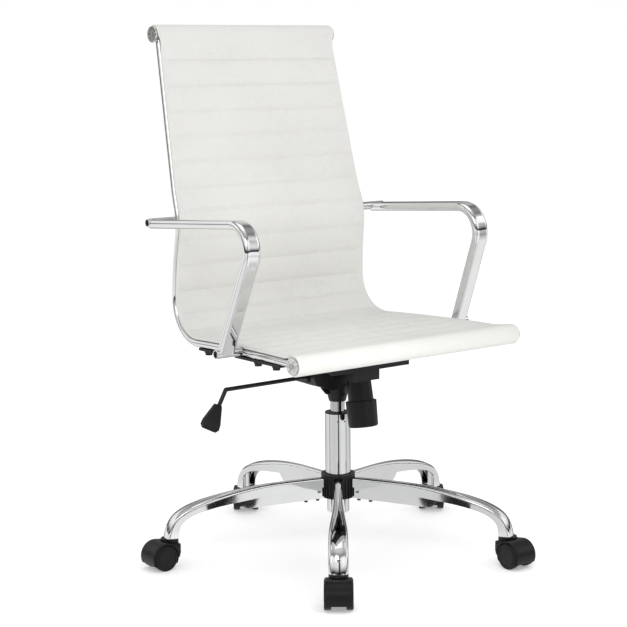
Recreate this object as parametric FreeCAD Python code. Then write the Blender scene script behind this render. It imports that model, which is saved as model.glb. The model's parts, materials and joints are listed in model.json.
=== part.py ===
import FreeCAD, Part
import math
import os

# Swivel office chair: five-leg base on casters, gas lift, tilt mechanism, a pair of bent side
# rails with a ribbed leather sling, and two bent armrests.
# Millimetres. +Z up, the sitter faces -Y, the origin is on the floor below the lift column.

V = FreeCAD.Vector
UP = V(0, 0, 1)

# ---- driving dimensions: seat frame -------------------------------------------------------
FRONT_ROLL = (-214.0, 432.0)      # y, z of the front roll's axis
RAIL_OUTER_X = 265.0              # outer face of the side rail at the front roll
RAIL_IN_PER_Y = 0.0587            # the rails close in towards the rear ...
RAIL_IN_PER_Z = 0.0385            # ... and towards the top
RAIL_WIDTH = 22.0
RAIL_DEPTH = 13.0
RAIL_WALL = 1.6
SEAT_HEADING = 0.8                # degrees above the horizontal where the seat rail starts
SEAT_LENGTH = 344.0
SEAT_DROP = 3.6                   # degrees that the crowned seat rail turns down
CORNER_RADIUS = 86.5              # seat to back
LOWER_BACK_RADIUS = 600.0
LUMBAR_LEAN = 8.0                 # degrees that the lower back leans forward
LUMBAR_STRAIGHT = 25.0
LUMBAR_RADIUS = 130.0
SHOULDER_RADIUS = 400.0
STEEPEST_BACK = 70.0              # heading just above the lumbar bend
UPPER_BACK = 77.0                 # heading of the long upper back
UPPER_BACK_LENGTH = 294.0
ROLL_TUBE_R = 14.0
ROLL_TUBE_WALL = 1.5
WRAP_R = 19.5                     # outside of the leather round a roll
PAD_THICKNESS = 8.0
SOFT_GAP = 0.3
SLING_GAP = 0.8                   # between the rails and the sling that lies on them
CAP_R = 16.0
CAP_THICKNESS = 3.0
FRONT_CAP_X = 271.6               # outer face of a front roll cap
TOP_CAP_X = 221.6                 # outer face of a top roll cap

# ---- driving dimensions: arms ------------------------------------------------------------
ARM_X = 276.5                     # arm tube's middle at the height of the armrest
ARM_WIDTH = 35.0
ARM_DEPTH = 17.5
ARM_WALL = 1.8
ARM_SPLAY = 3.0                   # degrees: the foot stands further out than the armrest
ARM_REAR = (213.0, 653.0)         # y, z of the rear end of the armrest's centre line
ARM_CORNER = (-134.0, 675.4)      # where the armrest's and the leg's centre lines would cross
ARM_FOOT = (-35.0, 434.0)
ARM_BEND_R = 48.0
STUB_R = 8.4
REAR_STUB = (213.0, 656.0)
REAR_STUB_X = 294.5
FOOT_STUB_X = 310.0
FOOT_BOLT = (-35.0, 432.6)        # the foot's bolt sits low in its stub, nearer the rail's middle
STUBS = ((REAR_STUB, REAR_STUB_X, REAR_STUB), (ARM_FOOT, FOOT_STUB_X, FOOT_BOLT))

# ---- driving dimensions: base ------------------------------------------------------------
LEG_COUNT = 5
FIRST_LEG_ANGLE = -38.5           # from straight ahead, about +Z
STEM_CIRCLE_R = 341.0
LEG_TIP_Z = 58.5
HUB_BOTTOM = 109.5
WEB_BOTTOM = 108.0                # lower edge of the legs' folded webs at the hub
HUB_TOP = 157.0
HUB_R = 33.0
WEB_THICKNESS = 5.0
LEG_SHEET = 2.4

# ---- driving dimensions: lift column -----------------------------------------------------
LIFT_R = 25.0
LIFT_TOP = 278.0
LIFT_LOWER_R = 21.6
LIFT_BOTTOM = 79.0
CYLINDER_R = 14.0
CYLINDER_BOTTOM = 125.0
CYLINDER_TOP = 362.0
ROD_R = 5.0

# ---- driving dimensions: tilt mechanism --------------------------------------------------
PIVOT = (-35.0, 378.0)            # y, z of the tilt pin
KNOB_BASE = (-73.0, 313.0)        # y, z of the middle of the knob's upper rim
KNOB_LEAN = 8.5                   # degrees: the knob's lower end leans forward
PLATE_TOP = 413.4
YOKE_TOP = 64.0                   # along the tension bolt, from the knob's rim
YOKE_HOLE_R = 7.4
BOLT_BALL_R = 10.5
LEVER_Z = 358.0
LEVER_PIVOT_X = -73.0
LEVER_R = 4.0
PADDLE_LEAN = 27.0

# ---- driving dimensions: casters ---------------------------------------------------------
WHEEL_R = 25.0
WHEEL_INNER_X = 13.2
WHEEL_OUTER_X = 26.4
CASTER_TRAIL = 24.0
HOOD_R = 28.5
HOOD_HALF_WIDTH = 26.4
HOOD_TOP = 56.5
STEM_R = 5.5
TRAIL_ANGLES = (-38.5, -90.0, 142.0, 142.0, 0.0)


# ---- small helpers -----------------------------------------------------------------------
def box(x0, x1, y0, y1, z0, z1):
    return Part.makeBox(x1 - x0, y1 - y0, z1 - z0, V(x0, y0, z0))


def rod(radius, start, end):
    axis = end - start
    return Part.makeCylinder(radius, axis.Length, start, axis)


def cross_rod(radius, x0, x1, y, z):
    return rod(radius, V(x0, y, z), V(x1, y, z))


def upright(radius, z0, z1, x=0.0, y=0.0):
    return Part.makeCylinder(radius, z1 - z0, V(x, y, z0))


def ring(outer, inner, z0, z1, x=0.0, y=0.0):
    return upright(outer, z0, z1, x, y).cut(upright(inner, z0 - 1, z1 + 1, x, y))


def fuse(shapes):
    whole = shapes[0].multiFuse(shapes[1:]) if len(shapes) > 1 else shapes[0]
    return whole.removeSplitter()


def polygon_yz(points, x=0.0):
    corners = [V(x, y, z) for y, z in points]
    return Part.Face(Part.makePolygon(corners + [corners[0]]))


def slab(points, x0, x1):
    """A flat outline in the YZ plane, made solid from x0 to x1."""
    return polygon_yz(points, x0).extrude(V(x1 - x0, 0, 0))


def turned(shape, centre, axis, degrees):
    copy = shape.copy()
    copy.rotate(centre, axis, degrees)
    return copy


def mirrored(shape):
    return shape.mirror(V(0, 0, 0), V(1, 0, 0))


def heading(degrees):
    return V(0, math.cos(math.radians(degrees)), math.sin(math.radians(degrees)))


def left_of(degrees):
    """Unit normal on the sitter's side of a path with this heading."""
    return heading(degrees + 90.0)


def stadium(centre, along_x, depth_dir, width, depth):
    """Flat oval: width along X, depth along depth_dir, with fully round sides."""
    half = width / 2.0 - depth / 2.0
    side = along_x * half
    out = along_x * (width / 2.0)
    up = depth_dir * (depth / 2.0)
    a = centre - side + up
    b = centre + side + up
    c = centre + side - up
    d = centre - side - up
    edges = [
        Part.LineSegment(a, b).toShape(),
        Part.Arc(b, centre + out, c).toShape(),
        Part.LineSegment(c, d).toShape(),
        Part.Arc(d, centre - out, a).toShape(),
    ]
    return Part.Wire(edges)


# ---- side rail path ----------------------------------------------------------------------
class Path:
    """A centre line in the YZ plane, made of straight runs and tangent arcs."""

    def __init__(self, start, degrees):
        self.edges = []
        self.point = start
        self.degrees = degrees

    def straight(self, length):
        end = self.point + heading(self.degrees) * length
        self.edges.append(Part.LineSegment(self.point, end).toShape())
        self.point = end

    def arc(self, radius, turn):
        side = 1.0 if turn > 0 else -1.0
        centre = self.point + left_of(self.degrees) * (side * radius)
        middle = centre - left_of(self.degrees + turn / 2.0) * (side * radius)
        end = centre - left_of(self.degrees + turn) * (side * radius)
        self.edges.append(Part.Arc(self.point, middle, end).toShape())
        self.point = end
        self.degrees = self.degrees + turn


def rail_path(offset):
    """The rail's side profile, moved towards the sitter by offset; starts at the front roll."""
    crown_radius = SEAT_LENGTH / math.radians(SEAT_DROP)
    seat_end = SEAT_HEADING - SEAT_DROP
    path = Path(left_of(SEAT_HEADING) * offset, SEAT_HEADING)
    path.arc(crown_radius + offset, -SEAT_DROP)
    path.arc(CORNER_RADIUS - offset, 90.0 - seat_end)
    path.arc(LOWER_BACK_RADIUS - offset, LUMBAR_LEAN)
    path.straight(LUMBAR_STRAIGHT)
    path.arc(LUMBAR_RADIUS + offset, STEEPEST_BACK - 90.0 - LUMBAR_LEAN)
    path.arc(SHOULDER_RADIUS - offset, UPPER_BACK - STEEPEST_BACK)
    path.straight(UPPER_BACK_LENGTH)
    return path


def lean(side):
    """Places a rail's own frame: x = 0 on its outer face, the front roll's axis at y = z = 0."""
    normal = V(1, side * RAIL_IN_PER_Y, side * RAIL_IN_PER_Z)
    origin = V(side * RAIL_OUTER_X, FRONT_ROLL[0], FRONT_ROLL[1])
    return FreeCAD.Placement(origin, FreeCAD.Rotation(V(1, 0, 0), normal))


def placed(shape, placement):
    copy = shape.copy()
    copy.Placement = placement.multiply(copy.Placement)
    return copy


FRONT_CENTRE = V(0, FRONT_ROLL[0], FRONT_ROLL[1])
TOP_LOCAL = rail_path(0.0).point
TOP_WORLD = lean(1).multVec(TOP_LOCAL)
TOP_CENTRE = V(0, TOP_WORLD.y, TOP_WORLD.z)


def rail_outer_x(y, z):
    """Outer face of the right rail at this place."""
    inward = RAIL_IN_PER_Y * (y - FRONT_ROLL[0]) + RAIL_IN_PER_Z * (z - FRONT_ROLL[1])
    return RAIL_OUTER_X - inward


# ---- seat frame --------------------------------------------------------------------------
def rail_bar(width, depth):
    path = rail_path(0.0)
    centre = V(-RAIL_WIDTH / 2.0, 0, 0)
    edges = [edge.translated(centre) for edge in path.edges]
    section = stadium(centre, V(1, 0, 0), left_of(SEAT_HEADING), width, depth)
    return Part.Wire(edges).makePipeShell([section], True, False)


def rail_bolt_places():
    """x, y and the lower face of the rail for each bolt on the right side."""
    places = []
    for y in RAIL_BOLT_YS:
        places.append((rail_outer_x(y, FRONT_ROLL[1]) - RAIL_WIDTH / 2.0, y))
    return places


REAR_BAR_Y = (77.0, 121.0)
MIDDLE_BAR_Y = (-113.0, -12.0)
FRONT_BAR_Y = (-158.0, -122.0)
RAIL_BOLT_YS = (97.0, -79.0, -140.0)
BAR_BOTTOM = PLATE_TOP + 0.2


def cope_cutter(centre):
    """Many-sided bar that just encloses a roll tube."""
    sides = 24
    reach = (ROLL_TUBE_R + 0.06) / math.cos(math.pi / sides)
    corners = []
    for k in range(sides):
        angle = 2.0 * math.pi * k / sides
        corners.append((centre.y + reach * math.cos(angle), centre.z + reach * math.sin(angle)))
    return slab(corners, -300, 300)


def side_rail():
    """Right rail: one oval tube for seat and back, coped to the roll tubes at both ends."""
    outside = rail_bar(RAIL_WIDTH, RAIL_DEPTH)
    inside = rail_bar(RAIL_WIDTH - 2 * RAIL_WALL, RAIL_DEPTH - 2 * RAIL_WALL)
    bar = placed(outside.cut(inside), lean(1))
    for centre in (FRONT_CENTRE, TOP_CENTRE):
        bar = bar.cut(cope_cutter(centre))
    for x, y in rail_bolt_places():
        bar = bar.cut(upright(3.1, 400, rail_bottom(y) + 6.0, x, y))
    for _, _, (y, z) in STUBS:
        bar = bar.cut(cross_rod(3.1, 200, 300, y, z))
    solids = sorted(bar.Solids, key=lambda solid: solid.Volume)
    return solids[-1]


def roll_tube(centre, cap_x):
    half = cap_x - CAP_THICKNESS - 0.1
    outside = cross_rod(ROLL_TUBE_R, -half, half, centre.y, centre.z)
    return outside.cut(cross_rod(ROLL_TUBE_R - ROLL_TUBE_WALL, -half - 1, half + 1, centre.y, centre.z))


def roll_cap(centre, cap_x, side):
    """Chrome disc with a spigot in the tube, a ring groove and a sunk middle."""
    y, z = centre.y, centre.z
    inner_face = cap_x - CAP_THICKNESS
    disc = cross_rod(CAP_R, side * inner_face, side * cap_x, y, z)
    disc = disc.makeFillet(1.0, [e for e in disc.Edges if abs(e.BoundBox.XMin - side * cap_x) < 0.01
                                 and abs(e.BoundBox.XMax - side * cap_x) < 0.01])
    spigot = cross_rod(ROLL_TUBE_R - ROLL_TUBE_WALL - 0.05, side * (inner_face - 12), side * inner_face, y, z)
    groove = cross_rod(11.5, side * (cap_x - 0.8), side * (cap_x + 1), y, z)
    groove = groove.cut(cross_rod(9.5, side * (cap_x - 1), side * (cap_x + 2), y, z))
    recess = cross_rod(6.5, side * (cap_x - 1.5), side * (cap_x + 1), y, z)
    bore = cross_rod(2.05, side * (inner_face - 13), side * (cap_x + 1), y, z)
    return fuse([disc, spigot]).cut(groove).cut(recess).cut(bore)


def cap_screw(centre, cap_x, side):
    y, z = centre.y, centre.z
    head = cross_rod(4.4, side * (cap_x - 1.45), side * (cap_x + 0.3), y, z)
    shank = cross_rod(2.0, side * (cap_x - 13.0), side * (cap_x - 1.45), y, z)
    slot = box(-0.5, 0.5, -4.5, 4.5, -0.5, 0.5)
    slot = slot.translated(V(side * (cap_x + 0.3), y, z))
    return fuse([head, shank]).cut(slot)


def all_caps(maker):
    shapes = []
    for centre, cap_x in ((FRONT_CENTRE, FRONT_CAP_X), (TOP_CENTRE, TOP_CAP_X)):
        for side in (-1, 1):
            shapes.append(maker(centre, cap_x, side))
    return Part.makeCompound(shapes)


def pad_strip():
    """The flat sling between the rails' outer faces, lying on the rails."""
    inner = RAIL_DEPTH / 2.0 + SLING_GAP
    lower = rail_path(inner)
    upper = rail_path(inner + PAD_THICKNESS)
    start = Part.LineSegment(left_of(SEAT_HEADING) * inner, left_of(SEAT_HEADING) * (inner + PAD_THICKNESS))
    end = Part.LineSegment(lower.point, upper.point)
    edges = lower.edges + [end.toShape()] + upper.edges + [start.toShape()]
    outline = Part.Face(Part.Wire(Part.__sortEdges__(edges)))
    on_the_rail = V(8.0, 0, 0)
    face = placed(outline.translated(on_the_rail), lean(-1)).translated(V(-60, 0, 0))
    prism = face.extrude(V(2 * RAIL_OUTER_X + 120, 0, 0))
    inside_rail = placed(box(-900, -1.5, -200, 900, -200, 900), lean(1))
    return prism.common(inside_rail).common(mirrored(inside_rail))


def roll_wrap(centre, half_width, away, sitter_side):
    """Leather round a roll; it stops short of the rails, which leave along `away`."""
    y, z = centre.y, centre.z
    wrap = cross_rod(WRAP_R, -half_width, half_width, y, z)
    wrap = wrap.cut(cross_rod(ROLL_TUBE_R + SOFT_GAP, -half_width - 1, half_width + 1, y, z))
    inner = RAIL_DEPTH / 2.0 + SLING_GAP + 0.5
    corners = []
    for u, n in ((4.0, inner), (60.0, inner), (60.0, -60.0), (4.0, -60.0)):
        point = centre + away * u + sitter_side * n
        corners.append((point.y, point.z))
    return wrap.cut(slab(corners, -half_width - 1, half_width + 1))


def upholstery():
    front = roll_wrap(FRONT_CENTRE, FRONT_CAP_X - CAP_THICKNESS - 0.4, heading(SEAT_HEADING), left_of(SEAT_HEADING))
    top = roll_wrap(TOP_CENTRE, TOP_CAP_X - CAP_THICKNESS - 0.4, heading(UPPER_BACK) * -1.0, left_of(UPPER_BACK))
    strip = pad_strip()
    for centre in (FRONT_CENTRE, TOP_CENTRE):
        strip = strip.cut(cross_rod(ROLL_TUBE_R + SOFT_GAP, -300, 300, centre.y, centre.z))
    return fuse([strip, front, top])


def back_stretcher():
    """Cross tube behind the lower back, between the rails."""
    y, z = REAR_STUB
    half = rail_outer_x(y, z) - RAIL_WIDTH - 0.3
    outside = cross_rod(7.5, -half, half, y + 0.5, z)
    return outside.cut(cross_rod(4.1, -half - 1, half + 1, y + 0.5, z))


def cross_bar(y0, y1):
    """Black steel bar across the underside of both rails, with turned-down edges between them."""
    top = min(rail_bottom(y0), rail_bottom(y1)) - 1.2
    half = rail_outer_x((y0 + y1) / 2.0, FRONT_ROLL[1]) - 4.0
    bar = box(-half, half, y0, y1, max(BAR_BOTTOM, top - 5.0), top)
    bar = fuse([bar, box(-half + 45, half - 45, y0, y1, BAR_BOTTOM, top)])
    for x, y in rail_bolt_places() + plate_bolt_places():
        for side in (-1, 1):
            bar = bar.cut(upright(3.1, 400, 440, side * x, y))
    return bar


def rail_bottom(y):
    """Height of the seat rail's lower face, which is a shallow arch."""
    crown_radius = SEAT_LENGTH / math.radians(SEAT_DROP)
    run = y - FRONT_ROLL[0]
    slope = math.tan(math.radians(SEAT_HEADING))
    return FRONT_ROLL[1] + run * slope - run * run / (2.0 * crown_radius) - RAIL_DEPTH / 2.0


def bar_underside(y):
    """Lower face of the bar's outer end that holds the rail bolt at y."""
    for y0, y1 in (REAR_BAR_Y, MIDDLE_BAR_Y, FRONT_BAR_Y):
        if y0 < y < y1:
            return max(BAR_BOTTOM, min(rail_bottom(y0), rail_bottom(y1)) - 6.2)


def plate_bolt_places():
    return [(80.0, 90.0), (80.0, -70.0)]


def seat_bolts():
    """Six rail bolts and four plate bolts, all with low round heads and a hexagon."""
    shapes = []
    for side in (-1, 1):
        for x, y in rail_bolt_places():
            shapes.append(bolt_up(side * x, y, bar_underside(y) - 0.1, rail_bottom(y) + 5.0))
        for x, y in plate_bolt_places():
            shapes.append(bolt_up(side * x, y, PLATE_TOP - 4.1, BAR_BOTTOM + 3.0))
    return Part.makeCompound(shapes)


def bolt_up(x, y, face, tip):
    flange = upright(8.0, face - 2.0, face, x, y)
    head = hexagon(6.5, face - 6.5, face - 2.0, x, y)
    shank = upright(3.0, face, tip, x, y)
    return fuse([flange, head, shank])


def hexagon(apothem, z0, z1, x, y):
    radius = apothem / math.cos(math.radians(30))
    corners = []
    for k in range(6):
        angle = math.radians(60 * k)
        corners.append(V(x + radius * math.cos(angle), y + radius * math.sin(angle), z0))
    face = Part.Face(Part.makePolygon(corners + [corners[0]]))
    return face.extrude(V(0, 0, z1 - z0))


# ---- arms --------------------------------------------------------------------------------
def arm_path():
    """Armrest, bend and leg, in the YZ plane."""
    rear = V(0, *ARM_REAR)
    corner = V(0, *ARM_CORNER)
    foot = V(0, *ARM_FOOT)
    to_rear = (rear - corner).normalize()
    to_foot = (foot - corner).normalize()
    half_angle = math.acos(to_rear.dot(to_foot)) / 2.0
    reach = ARM_BEND_R / math.tan(half_angle)
    start = corner + to_rear * reach
    end = corner + to_foot * reach
    bisector = (to_rear + to_foot).normalize()
    centre = corner + bisector * (ARM_BEND_R / math.sin(half_angle))
    middle = centre - bisector * ARM_BEND_R
    edges = [
        Part.LineSegment(rear, start).toShape(),
        Part.Arc(start, middle, end).toShape(),
        Part.LineSegment(end, foot).toShape(),
    ]
    return edges, to_rear


def arm_bar(width, depth):
    edges, to_rear = arm_path()
    across = V(1, 0, 0).cross(to_rear)
    section = stadium(V(0, *ARM_REAR), V(1, 0, 0), across, width, depth)
    bar = Part.Wire(edges).makePipeShell([section], True, False)
    return turned(bar, V(0, *ARM_REAR), V(0, 1, 0), -ARM_SPLAY).translated(V(ARM_X, 0, 0))


def stub(radius, outer_x, y, z):
    """Short cross tube from the arm's outer end to just inside the rail's outer face."""
    inner_x = rail_outer_x(y, z) - 3.0
    return cross_rod(radius, inner_x, outer_x, y, z)


def arm():
    """Right arm: oval tube welded to a rear stub and a foot stub."""
    solid = [arm_bar(ARM_WIDTH, ARM_DEPTH)]
    hollow = [arm_bar(ARM_WIDTH - 2 * ARM_WALL, ARM_DEPTH - 2 * ARM_WALL)]
    for (y, z), outer_x, bolt in STUBS:
        solid.append(stub(STUB_R, outer_x, y, z))
        hollow.append(stub(STUB_R - ARM_WALL, outer_x, y, z).translated(V(2.0, 0, 0)))
        hollow.append(cross_rod(3.1, 200, 320, *bolt))
    shape = solid[0].multiFuse(solid[1:])
    for cavity in hollow:
        shape = shape.cut(cavity)
    beyond_rail_face = placed(box(-300, 0.3, -200, 900, -200, 900), lean(1))
    shape = shape.cut(beyond_rail_face)
    solids = sorted(shape.Solids, key=lambda item: item.Volume)
    return solids[-1]


def arm_plugs():
    """Black sleeves in the open ends of the stubs."""
    shapes = []
    for (y, z), outer_x, bolt in STUBS:
        sleeve = cross_rod(STUB_R - ARM_WALL - 0.05, outer_x - 9, outer_x - 1, y, z)
        sleeve = sleeve.cut(cross_rod(3.6, outer_x - 10, outer_x, *bolt))
        shapes.append(sleeve)
        shapes.append(mirrored(sleeve))
    return Part.makeCompound(shapes)


def arm_bolts():
    shapes = []
    for _, outer_x, (y, z) in STUBS:
        rail_x = rail_outer_x(y, z)
        head = cross_rod(3.5, outer_x - 12, outer_x - 3, y, z)
        shank = cross_rod(3.0, rail_x - RAIL_WIDTH - 0.2, outer_x - 12, y, z)
        bolt = fuse([head, shank])
        shapes.append(bolt)
        shapes.append(mirrored(bolt))
    return Part.makeCompound(shapes)


# ---- base --------------------------------------------------------------------------------
# Distance from the column, height of the top line, width, and height of the cross-section.
LEG_STATIONS = ((24.0, 150.5, 15.0, 20.0), (66.0, 150.0, 15.0, 20.0), (108.0, 148.8, 15.0, 21.0),
                (150.0, 146.8, 16.5, 23.0), (191.0, 142.8, 20.0, 24.0), (231.0, 136.6, 26.0, 22.0),
                (268.0, 128.8, 32.5, 19.5), (301.0, 118.8, 35.5, 18.0), (328.0, 104.6, 36.0, 19.0),
                (345.0, 84.0, 36.0, 22.0), (352.5, LEG_TIP_Z, 35.0, 25.0))


def leg_section(k, inset):
    """Arched cross-section square to the leg's top line, with every wall moved in by inset."""
    r, z, width, height = LEG_STATIONS[k]
    before = LEG_STATIONS[max(k - 1, 0)]
    after = LEG_STATIONS[min(k + 1, len(LEG_STATIONS) - 1)]
    along = V(0, before[0] - after[0], after[1] - before[1]).normalize()
    if k == len(LEG_STATIONS) - 1:
        along = V(0, 0, -1)
    down = V(1, 0, 0).cross(along)
    width = width - 2.0 * inset
    corner = max(min(width * 0.3, 6.5) - inset, 2.0)
    side = V(width / 2.0, 0, 0)
    flat = V(width / 2.0 - corner, 0, 0)
    crown = down * (inset + 0.06 * width)
    top = V(0, -r, z) + down * inset
    level = V(0, -r, z) + crown
    shoulder = level + down * corner
    foot = V(0, -r, z) + down * (height + 5.0 * min(inset, 1.0))
    bulge = level + down * (corner * 0.3)
    edges = [
        Part.LineSegment(foot - side, shoulder - side).toShape(),
        Part.Arc(shoulder - side, bulge - flat - V(corner * 0.7, 0, 0), level - flat).toShape(),
        Part.Arc(level - flat, top, level + flat).toShape(),
        Part.Arc(level + flat, bulge + flat + V(corner * 0.7, 0, 0), shoulder + side).toShape(),
        Part.LineSegment(shoulder + side, foot + side).toShape(),
        Part.LineSegment(foot + side, foot - side).toShape(),
    ]
    return Part.Wire(edges)


def leg_loft(inset, first):
    sections = [leg_section(k, inset) for k in range(first, len(LEG_STATIONS))]
    return Part.makeLoft(sections, True, False, False, 3)


def leg():
    """One leg pointing towards -Y: pressed channel, folded web near the hub, and stem socket."""
    shell = leg_loft(0.0, 0).cut(leg_loft(LEG_SHEET, 2))
    web = slab([(-24, WEB_BOTTOM), (-186, 100.5), (-193, 103.0), (-203, 113.0), (-203, 130.0), (-24, 140.0)],
               -WEB_THICKNESS / 2.0, WEB_THICKNESS / 2.0)
    socket = upright(9.0, LEG_TIP_Z + 1.0, 93.0, 0, -STEM_CIRCLE_R + 1.0)
    roof = leg_loft(0.0, 0)
    socket = socket.common(roof)
    whole = fuse([shell, web, socket])
    whole = whole.cut(upright(STEM_R + 0.05, 40, 84, 0, -STEM_CIRCLE_R))
    for r in LEG_SCREW_RS:
        whole = whole.cut(upright(1.65, 90, 122, 0, -r))
    return whole


LEG_SCREW_RS = (43.0, 67.0)


def about_column(shape, degrees):
    return turned(shape, V(0, 0, 0), UP, degrees)


def leg_angle(k):
    return FIRST_LEG_ANGLE - 72.0 * k


def leg_screws():
    shapes = []
    for k in range(LEG_COUNT):
        for r in LEG_SCREW_RS:
            face = WEB_BOTTOM - (r - 24.0) * (7.5 / 162.0) - 0.4
            screw = fuse([upright(3.6, face - 3.0, face, 0, -r), upright(1.6, face, face + 12.0, 0, -r)])
            shapes.append(about_column(screw, leg_angle(k)))
    return Part.makeCompound(shapes)


def hub():
    """Black ribbed hub that clamps the legs' inner ends round the lift tube."""
    body = Part.makeCone(HUB_R - 2.5, HUB_R - 1.0, HUB_TOP - HUB_BOTTOM, V(0, 0, HUB_BOTTOM))
    collar = ring(HUB_R + 0.5, HUB_R - 4, HUB_TOP - 6.5, HUB_TOP)
    foot = ring(HUB_R - 1.0, HUB_R - 5, HUB_BOTTOM, HUB_BOTTOM + 4.0)
    ribs = []
    for k in range(LEG_COUNT):
        for offset in (-20.0, -7.0, 7.0, 20.0):
            rib = box(-1.5, 1.5, -HUB_R - 0.2, -HUB_R + 4, HUB_BOTTOM + 1, HUB_TOP - 4)
            ribs.append(about_column(rib, leg_angle(k) + 36.0 + offset))
    whole = fuse([body, collar, foot] + ribs)
    whole = whole.cut(upright(LIFT_LOWER_R + 0.15, HUB_BOTTOM - 1, HUB_TOP + 1))
    for k in range(LEG_COUNT):
        slot = box(-7.7, 7.7, -HUB_R - 5, -23.5, HUB_BOTTOM - 5, 151.2)
        whole = whole.cut(about_column(slot, leg_angle(k)))
    return whole


# ---- lift column -------------------------------------------------------------------------
def lift_tube():
    """Chrome outer tube with a narrower lower end that stands in the hub."""
    shoulder = HUB_TOP + 1.2
    outside = fuse([upright(LIFT_R, shoulder, LIFT_TOP), upright(LIFT_LOWER_R, LIFT_BOTTOM, shoulder)])
    bottom = [e for e in outside.Edges if e.BoundBox.ZMax < LIFT_BOTTOM + 0.01]
    outside = outside.makeFillet(2.5, bottom)
    shape = outside.cut(upright(LIFT_R - 1.6, shoulder + 2.0, LIFT_TOP + 1))
    shape = shape.cut(upright(LIFT_LOWER_R - 1.8, LIFT_BOTTOM + 3.0, shoulder + 3.0))
    shape = shape.cut(upright(ROD_R + 0.08, LIFT_BOTTOM - 1, LIFT_BOTTOM + 4))
    for degrees in (-37.0, -5.0):
        hole = rod(1.5, V(0, -LIFT_R + 3, LIFT_TOP - 14), V(0, -LIFT_R - 2, LIFT_TOP - 14))
        shape = shape.cut(about_column(hole, degrees))
    return shape


def lift_bush():
    """Black guide bush with a lip that covers the tube's rim."""
    sleeve = ring(LIFT_R - 1.65, CYLINDER_R + 0.08, 200.0, LIFT_TOP + 0.1)
    lip = ring(LIFT_R - 0.4, CYLINDER_R + 0.08, LIFT_TOP + 0.05, LIFT_TOP + 2.0)
    return fuse([sleeve, lip])


def thrust_bearing():
    """Ball thrust bearing at the foot of the lift: two washers and a ball cage as one ring."""
    base = LIFT_BOTTOM + 3.0
    return fuse([ring(13.0, ROD_R + 0.4, base, base + 2.0), ring(12.0, ROD_R + 1.2, base + 1.9, base + 4.1),
                 ring(13.0, ROD_R + 0.4, base + 4.0, base + 6.0)])


def piston_rod():
    base = LIFT_BOTTOM + 9.1
    shape = fuse([upright(ROD_R, LIFT_BOTTOM - 4.0, 250.0), upright(9.0, base, base + 3.0),
                  upright(11.7, 238.0, 248.0)])
    return shape.cut(ring(ROD_R + 1, ROD_R - 0.8, LIFT_BOTTOM - 2.3, LIFT_BOTTOM - 0.7))


def retaining_clip():
    clip = ring(8.0, ROD_R - 0.75, LIFT_BOTTOM - 2.1, LIFT_BOTTOM - 0.9)
    return clip.cut(box(-3.5, 3.5, -12, 0, LIFT_BOTTOM - 5, LIFT_BOTTOM))


def lift_cylinder():
    """Gas cylinder that slides in the bush; its top is a slight taper held by the socket."""
    outside = fuse([upright(CYLINDER_R, CYLINDER_BOTTOM, 310.0),
                    Part.makeCone(CYLINDER_R, CYLINDER_R - 0.8, CYLINDER_TOP - 310.0, V(0, 0, 310.0))])
    shape = outside.cut(upright(CYLINDER_R - 2.0, CYLINDER_BOTTOM + 5.0, CYLINDER_TOP - 8.0))
    shape = shape.cut(upright(ROD_R + 0.08, CYLINDER_BOTTOM - 1, CYLINDER_BOTTOM + 6))
    return shape.cut(upright(4.05, CYLINDER_TOP - 9, CYLINDER_TOP + 1))


def release_button():
    return upright(4.0, CYLINDER_TOP - 6.0, CYLINDER_TOP + 8.0)


# ---- tilt mechanism ----------------------------------------------------------------------
def knob_frame():
    """Origin in the middle of the knob's upper rim, z along the tension bolt."""
    rotation = FreeCAD.Rotation(V(1, 0, 0), -KNOB_LEAN)
    return FreeCAD.Placement(V(0, *KNOB_BASE), rotation)


HOUSING_OUTLINE = ((-76, 383), (-76, 358), (-70, 344), (-32, 330), (32, 330), (70, 344), (76, 358), (76, 383))
HOUSING_HOLLOW = ((-72, 390), (-72, 359), (-67, 348), (-31, 335), (31, 335), (67, 348), (72, 359), (72, 390))


def across_slab(points, y0, y1):
    """An outline in the XZ plane, made solid from y0 to y1."""
    corners = [V(x, y0, z) for x, z in points]
    face = Part.Face(Part.makePolygon(corners + [corners[0]]))
    return face.extrude(V(0, y1 - y0, 0))


def tilt_housing():
    """Lower housing: rear box on the lift's taper, narrower nose over the tension spring."""
    rear = across_slab(HOUSING_OUTLINE, -24, 45)
    nose = box(-30, 30, -93, -22, 354.6, 383)
    cone = Part.makeCone(16.5, 26.0, 34.0, V(0, 0, 302.0))
    fins = [box(-40, 40, -2, 2, 318, 340), box(-2, 2, -22, 40, 314, 340)]
    fins = [fin.common(Part.makeCone(20.0, 46.0, 30.0, V(0, 0, 308.0))) for fin in fins]
    whole = fuse([rear, nose, cone] + fins)
    whole = whole.cut(across_slab(HOUSING_HOLLOW, -20, 41))
    whole = whole.cut(box(-26.5, 26.5, -89.5, -17, 358.2, 390))
    post = Part.makeCone(24.0, 16.5, 24.0, V(0, 0, 335.0))
    whole = fuse([whole, post])
    whole = whole.cut(upright(CYLINDER_R + 0.05, 300, 310.5))
    whole = whole.cut(Part.makeCone(CYLINDER_R + 0.05, CYLINDER_R - 0.75, CYLINDER_TOP - 310.0, V(0, 0, 310.0)))
    whole = whole.cut(upright(12.0, CYLINDER_TOP - 8, 400))
    whole = whole.cut(cross_rod(5.05, -60, 60, *PIVOT))
    whole = whole.cut(placed(upright(7.5, 20, 70), knob_frame()))
    whole = whole.cut(box(-80, -65, -8, 8, LEVER_Z - 10, LEVER_Z + 10))
    return whole


def pivot_pin():
    """Pin with a domed head on each side of the housing's nose."""
    shape = fuse([cross_rod(5.0, -33, 33, *PIVOT), cross_rod(8.0, -33, -30.3, *PIVOT),
                  cross_rod(8.0, 30.3, 33, *PIVOT)])
    return shape


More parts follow.
